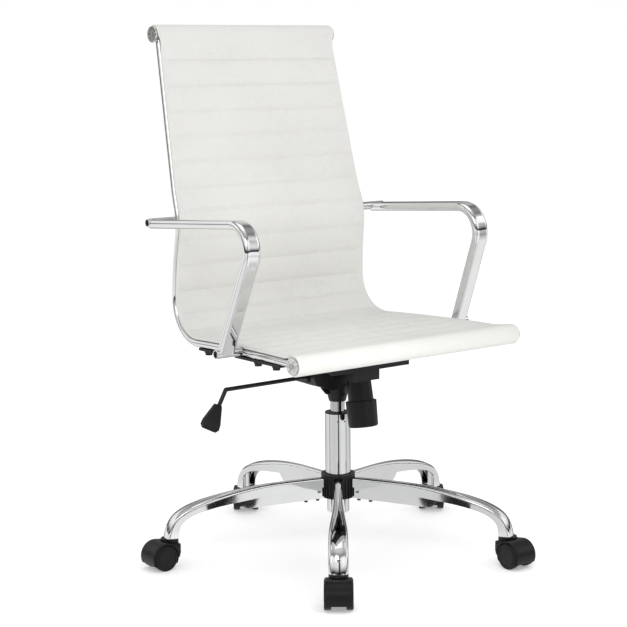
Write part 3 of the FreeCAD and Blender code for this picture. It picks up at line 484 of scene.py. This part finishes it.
def puffed_panels(sections, total):
    """Cloth simulation of the leather between its seams: each grid point's move outwards (mm)."""
    rows = [section for section in sections if section[3] is not None][::PUFF_EVERY]
    points, faces, weights = cloth_grid(rows, total)
    mesh = bpy.data.meshes.new("panel_cloth")
    mesh.from_pydata([tuple(v) for v in points], [], faces)
    mesh.update()
    normals = [v.normal.copy() for v in mesh.vertices]
    obj = bpy.data.objects.new("panel_cloth", mesh)
    scene = bpy.context.scene
    scene.collection.objects.link(obj)
    scene.frame_start, scene.frame_end = 1, PUFF_FRAMES
    add_cloth(obj, weights)
    for frame_number in range(1, PUFF_FRAMES + 1):
        scene.frame_set(frame_number)
    shaped = obj.evaluated_get(bpy.context.evaluated_depsgraph_get()).to_mesh()
    moves = []
    for k, vertex in enumerate(shaped.vertices):
        outward = -1.0 if normals[k].y > 0 and normals[k].z <= 0 else 1.0
        move = (vertex.co - points[k]).dot(normals[k]) * outward / MM
        moves.append(move if math.isfinite(move) else 0.0)
    bpy.data.objects.remove(obj)
    bpy.data.meshes.remove(mesh)
    scene.frame_set(1)
    return [PUFF_CAP * math.tanh(move / PUFF_CAP) for move in moves], len(rows)


def puff_at(puff, row_place, fraction):
    """The simulated move at a section and a fraction across, between the grid's points."""
    if puff is None:
        return 0.0
    moves, row_count = puff
    r = min(max(row_place / PUFF_EVERY, 0.0), row_count - 1.001)
    c = min(max((fraction + 1.0) / 2.0 * PUFF_COLUMNS, 0.0), PUFF_COLUMNS - 0.001)
    r0, c0 = int(r), int(c)
    fr, fc = r - r0, c - c0
    base = r0 * (PUFF_COLUMNS + 1) + c0
    near = moves[base] * (1.0 - fc) + moves[base + 1] * fc
    beyond = base + PUFF_COLUMNS + 1
    far = moves[beyond] * (1.0 - fc) + moves[beyond + 1] * fc
    return near * (1.0 - fr) + far * fr


def build_sling():
    sections, total = sling_sections()
    puff = puffed_panels(sections, total)
    first_line = next(k for k, section in enumerate(sections) if section[3] is not None)
    across, rounds = SLING_COLUMNS, EDGE_STEPS
    vertices, faces = [], []
    for k, (outer, inner, half, distance, ribbed) in enumerate(sections):
        middle = (outer + inner) / 2.0
        up = (outer - inner).normalized()
        thick = (outer - inner).length / 2.0
        straight = half - thick
        for i in range(across + 1):
            fraction = -1.0 + 2.0 * i / across
            drop = 0.0
            if distance is not None:
                drop = rib_depth(distance, total, straight * fraction, half) * ribbed
                drop -= puff_at(puff, k - first_line, fraction) * ribbed
            place = middle + up * (thick - drop)
            vertices.append((straight * fraction, place.x, place.y))
        for i in range(1, rounds):
            angle = math.pi * i / rounds
            place = middle + up * (thick * math.cos(angle))
            vertices.append((straight + thick * math.sin(angle), place.x, place.y))
        for i in range(across + 1):
            place = middle - up * thick
            vertices.append((straight - 2.0 * straight * i / across, place.x, place.y))
        for i in range(1, rounds):
            angle = math.pi * i / rounds
            place = middle - up * (thick * math.cos(angle))
            vertices.append((-straight - thick * math.sin(angle), place.x, place.y))
    loop = 2 * (across + 1) + 2 * (rounds - 1)
    for s in range(len(sections) - 1):
        a, b = s * loop, (s + 1) * loop
        for i in range(loop):
            j = (i + 1) % loop
            faces.append((a + i, a + j, b + j, b + i))
    faces.append(tuple(range(loop)))
    faces.append(tuple(reversed(range((len(sections) - 1) * loop, len(sections) * loop))))
    vertices = [Vector(v) * MM for v in vertices]
    obj = new_object("ribbed_leather_sling", vertices, faces, MATERIALS["cream_leather"], "seat")
    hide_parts("upholstery")
    build_stitches(sections, total)


def build_stitches(sections, total):
    """Sewing thread along every seam: short stitches that lie in the grooves."""
    lines = [section for section in sections if section[3] is not None]
    vertices, faces = [], []
    for seam in range(last_seam(total) + 1):
        centre = total - SEAM_FROM_TOP - seam * SEAM_SPACING
        k = min(range(len(lines) - 1), key=lambda n: abs((lines[n][3] + lines[n + 1][3]) / 2.0 - centre))
        half = lines[k][2] - STITCH_MARGIN
        count = int(2.0 * half / STITCH_PITCH)
        for i in range(count):
            x = -half + (i + 0.5) * STITCH_PITCH
            here = centre + seam_wobble(x, centre)
            t = (here - lines[k][3]) / (lines[k + 1][3] - lines[k][3])
            outer = lines[k][0].lerp(lines[k + 1][0], t)
            inner = lines[k][1].lerp(lines[k + 1][1], t)
            up2 = (outer - inner).normalized()
            drop = rib_depth(here, total, x, lines[k][2]) * lines[k][4]
            flat = outer - up2 * (drop - STITCH_R * STITCH_LIFT)
            middle = Vector((x, flat.x, flat.y))
            up = Vector((0.0, up2.x, up2.y))
            side = Vector((1.0, 0.0, 0.0)).cross(up)
            base = len(vertices)
            for along, size in STITCH_RINGS:
                ring_centre = middle + Vector((along * STITCH_PITCH, 0, 0))
                for step in range(STITCH_SIDES):
                    angle = 2.0 * math.pi * step / STITCH_SIDES
                    around = up * math.cos(angle) + side * math.sin(angle)
                    vertices.append((ring_centre + around * (STITCH_R * size)) * MM)
            for ring in range(len(STITCH_RINGS) - 1):
                start = base + ring * STITCH_SIDES
                for step in range(STITCH_SIDES):
                    a, b = start + step, start + (step + 1) % STITCH_SIDES
                    faces.append((a, b, b + STITCH_SIDES, a + STITCH_SIDES))
            end = base + (len(STITCH_RINGS) - 1) * STITCH_SIDES
            faces.append(tuple(base + STITCH_SIDES - 1 - step for step in range(STITCH_SIDES)))
            faces.append(tuple(end + step for step in range(STITCH_SIDES)))
    obj = new_object("seam_stitches", vertices, faces, sewing_thread(), "seat")


build_sling()

# ---- the tension spring: one fixed coil on the column (the real one shortens as the seat tilts) ---
KNOB_BASE = Vector((0.0, -73.0, 313.0))
KNOB_LEAN = math.radians(8.5)
BOLT_AXIS = Vector((0.0, math.sin(KNOB_LEAN), math.cos(KNOB_LEAN)))
COIL_R = 15.0
COIL_WIRE_R = 2.6
COIL_PITCH = 9.0
COIL_START = -9.5
COIL_HEIGHT = 44.0
COIL_STEPS_PER_TURN = 40
COIL_SIDES = 12


def build_coil():
    """Helical wire along the tension bolt, from the spring seat up to the barrel's roof."""
    sideways = Vector((1.0, 0.0, 0.0))
    forward = BOLT_AXIS.cross(sideways)
    steps, around = int(COIL_HEIGHT / COIL_PITCH * COIL_STEPS_PER_TURN), COIL_SIDES
    slope = COIL_PITCH / (2.0 * math.pi * COIL_R)
    vertices, faces = [], []
    for i in range(steps + 1):
        rise = COIL_HEIGHT * i / steps
        angle = 2.0 * math.pi * rise / COIL_PITCH
        out = sideways * math.cos(angle) + forward * math.sin(angle)
        along = (forward * math.cos(angle) - sideways * math.sin(angle) + BOLT_AXIS * slope).normalized()
        up = along.cross(out)
        centre = KNOB_BASE + BOLT_AXIS * (COIL_START + rise) + out * COIL_R
        for k in range(around):
            turn = 2.0 * math.pi * k / around
            vertices.append((centre + (out * math.cos(turn) + up * math.sin(turn)) * COIL_WIRE_R) * MM)
    for i in range(steps):
        for k in range(around):
            a, b = i * around + k, i * around + (k + 1) % around
            faces.append((a, b, b + around, a + around))
    faces.append(tuple(reversed(range(around))))
    faces.append(tuple(range(steps * around, (steps + 1) * around)))
    obj = new_object("tension_coil", vertices, faces, MATERIALS["spring_steel"], "column")
    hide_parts("tension_spring")
    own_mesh(obj)


build_coil()

# ---- floor, light, camera ----------------------------------------------------------------
FLOOR_HALF = 14.0


def add_floor():
    """Pale floor, slightly lit from itself and left out of the chrome's reflections."""
    shader = Shader("pale_floor", Roughness=0.9, Specular_IOR_Level=0.1,
                    Emission_Color=(1.0, 1.0, 1.0, 1.0), Emission_Strength=0.3)
    shader.colours(shader.noise(1.5, 2.0), ((0.3, (0.93, 0.93, 0.93)), (0.7, (0.95, 0.95, 0.95))))
    corners = [(-FLOOR_HALF, -FLOOR_HALF, 0), (FLOOR_HALF, -FLOOR_HALF, 0),
               (FLOOR_HALF, FLOOR_HALF, 0), (-FLOOR_HALF, FLOOR_HALF, 0)]
    mesh = bpy.data.meshes.new("floor")
    mesh.from_pydata(corners, [], [(0, 1, 2, 3)])
    mesh.materials.append(shader.material)
    floor = bpy.data.objects.new("floor", mesh)
    bpy.context.scene.collection.objects.link(floor)
    floor.visible_glossy = False


add_floor()

LIGHTS = (      # name, place, aimed at, width, height, power, mirrored by polished metal
    ("key", (-2.6, -2.2, 2.6), (0, 0, 0.5), 1.6, 1.6, 13.0, True),
    ("fill", (2.8, -1.8, 1.8), (0, 0, 0.5), 1.2, 2.2, 5.0, True),
    ("near_fill", (-0.25, -0.70, 0.66), (0, 0.25, 0.58), 0.5, 0.4, 1.6, False),
    ("top", (0.2, 0.4, 3.4), (0, 0, 0.4), 2.4, 2.4, 12.0, True),
)


def area_light(name, place, target, width, height, power, mirrored):
    data = bpy.data.lights.new(name, "AREA")
    data.shape = "RECTANGLE"
    data.size, data.size_y, data.energy = width, height, power
    obj = bpy.data.objects.new(name, data)
    bpy.context.scene.collection.objects.link(obj)
    obj.location = place
    way = Vector(target) - Vector(place)
    obj.rotation_euler = way.to_track_quat("-Z", "Y").to_euler()
    obj.visible_glossy = mirrored


for light in LIGHTS:
    area_light(*light)

# Levels that polished metal mirrors: by height above the horizon, and round the chair.
HEIGHT_STOPS = ((0.0, 0.90), (0.12, 0.62), (0.17, 1.05), (0.33, 1.1), (0.39, 0.80), (0.44, 1.05),
                (0.495, 1.05), (0.505, 0.05), (0.535, 0.02), (0.575, 0.50), (0.62, 0.95), (0.70, 1.10),
                (0.80, 1.15), (0.865, 0.25), (0.93, 0.60), (1.0, 0.90))
ROUND_STOPS = ((0.0, 0.55), (0.05, 0.35), (0.07, 0.16), (0.10, 0.85), (0.26, 1.20), (0.28, 0.40),
               (0.30, 1.0), (0.42, 0.92), (0.500, 1.0), (0.512, 0.02), (0.528, 0.02), (0.540, 0.90),
               (0.60, 1.20), (0.71, 1.10), (0.73, 0.50), (0.76, 1.05), (0.88, 0.85), (0.915, 0.14),
               (0.93, 0.14), (1.0, 0.55))
FACING = math.atan2(-0.785, -0.62)      # the middle of ROUND_STOPS
EVEN_LEVEL = 0.80             # light on matt surfaces
FLAGS_FULL_BELOW = 0.45       # how steep a mirrored direction may be before the flags fade ...
FLAGS_GONE_ABOVE = 0.9        # ... and where they are gone


def studio_world():
    """White for the camera, even light for matt surfaces, panels and dark flags for polished ones."""
    world = bpy.data.worlds.new("studio")
    bpy.context.scene.world = world
    world.use_nodes = True
    tree = world.node_tree
    tree.nodes.clear()

    def made(kind, **values):
        node = tree.nodes.new(kind)
        for name, value in values.items():
            node.inputs[name.replace("_", " ")].default_value = value
        return node

    def calculate(operation, a, b):
        node = made("ShaderNodeMath")
        node.operation = operation
        for socket, value in zip(node.inputs, (a, b)):
            if isinstance(value, (int, float)):
                socket.default_value = value
            elif value is not None:
                tree.links.new(value, socket)
        return node.outputs["Value"]

    def levels(value, stops):
        node = made("ShaderNodeValToRGB")
        ramp = node.color_ramp
        while len(ramp.elements) < len(stops):
            ramp.elements.new(0.5)
        for element, (place, level) in zip(ramp.elements, stops):
            element.position = place
            element.color = (level, level, level, 1.0)
        tree.links.new(value, node.inputs["Fac"])
        return node.outputs["Color"]

    coords = made("ShaderNodeTexCoord")
    split = made("ShaderNodeSeparateXYZ")
    tree.links.new(coords.outputs["Generated"], split.inputs["Vector"])
    height = calculate("MULTIPLY_ADD", split.outputs["Z"], 0.5)
    height.node.inputs[2].default_value = 0.5
    angle = calculate("ARCTAN2", split.outputs["Y"], split.outputs["X"])
    turns = calculate("DIVIDE", calculate("SUBTRACT", angle, FACING), 2.0 * math.pi)
    around = calculate("FRACT", calculate("ADD", turns, 0.5), None)
    low = made("ShaderNodeMapRange", From_Min=FLAGS_FULL_BELOW, From_Max=FLAGS_GONE_ABOVE,
               To_Min=1.0, To_Max=0.0)
    tree.links.new(calculate("ABSOLUTE", split.outputs["Z"], None), low.inputs["Value"])
    shade = calculate("SUBTRACT", 1.0, levels(around, ROUND_STOPS))
    flags = calculate("SUBTRACT", 1.0, calculate("MULTIPLY", low.outputs["Result"], shade))
    mirror_level = calculate("MULTIPLY", levels(height, HEIGHT_STOPS), flags)
    mirrored = made("ShaderNodeBackground", Strength=1.0)
    tree.links.new(mirror_level, mirrored.inputs["Color"])
    even = made("ShaderNodeBackground", Color=(1.0, 1.0, 1.0, 1.0), Strength=EVEN_LEVEL)
    plain = made("ShaderNodeBackground", Color=(1.0, 1.0, 1.0, 1.0), Strength=1.0)
    path = made("ShaderNodeLightPath")
    matt_or_glossy = made("ShaderNodeMixShader")
    tree.links.new(path.outputs["Is Glossy Ray"], matt_or_glossy.inputs["Fac"])
    tree.links.new(even.outputs["Background"], matt_or_glossy.inputs[1])
    tree.links.new(mirrored.outputs["Background"], matt_or_glossy.inputs[2])
    seen = made("ShaderNodeMixShader")
    tree.links.new(path.outputs["Is Camera Ray"], seen.inputs["Fac"])
    tree.links.new(matt_or_glossy.outputs["Shader"], seen.inputs[1])
    tree.links.new(plain.outputs["Background"], seen.inputs[2])
    output = made("ShaderNodeOutputWorld")
    tree.links.new(seen.outputs["Shader"], output.inputs["Surface"])


studio_world()

CAMERA_PLACE = Vector((-1.9745, -2.4927, 0.9625))
CAMERA_YAW = math.radians(37.57)
CAMERA_PITCH = math.radians(-8.72)
CAMERA_ROLL = math.radians(-0.614)
FOCAL_PIXELS = 1652.4
FRAME_PIXELS = 627.0
SENSOR_WIDTH = 36.0
CLIP_END = 60.0


def add_camera():
    forward = Vector((math.sin(CAMERA_YAW) * math.cos(CAMERA_PITCH),
                      math.cos(CAMERA_YAW) * math.cos(CAMERA_PITCH),
                      math.sin(CAMERA_PITCH)))
    right = forward.cross(Vector((0, 0, 1))).normalized()
    up = right.cross(forward)
    turned_right = right * math.cos(CAMERA_ROLL) + up * math.sin(CAMERA_ROLL)
    turned_up = up * math.cos(CAMERA_ROLL) - right * math.sin(CAMERA_ROLL)
    data = bpy.data.cameras.new("camera")
    data.sensor_width = SENSOR_WIDTH
    data.lens = FOCAL_PIXELS / FRAME_PIXELS * SENSOR_WIDTH
    data.clip_end = CLIP_END
    obj = bpy.data.objects.new("camera", data)
    bpy.context.scene.collection.objects.link(obj)
    matrix = Matrix((turned_right, turned_up, -forward)).transposed().to_4x4()
    matrix.translation = CAMERA_PLACE
    obj.matrix_world = matrix
    bpy.context.scene.camera = obj


add_camera()
bpy.context.scene.view_settings.view_transform = "Standard"
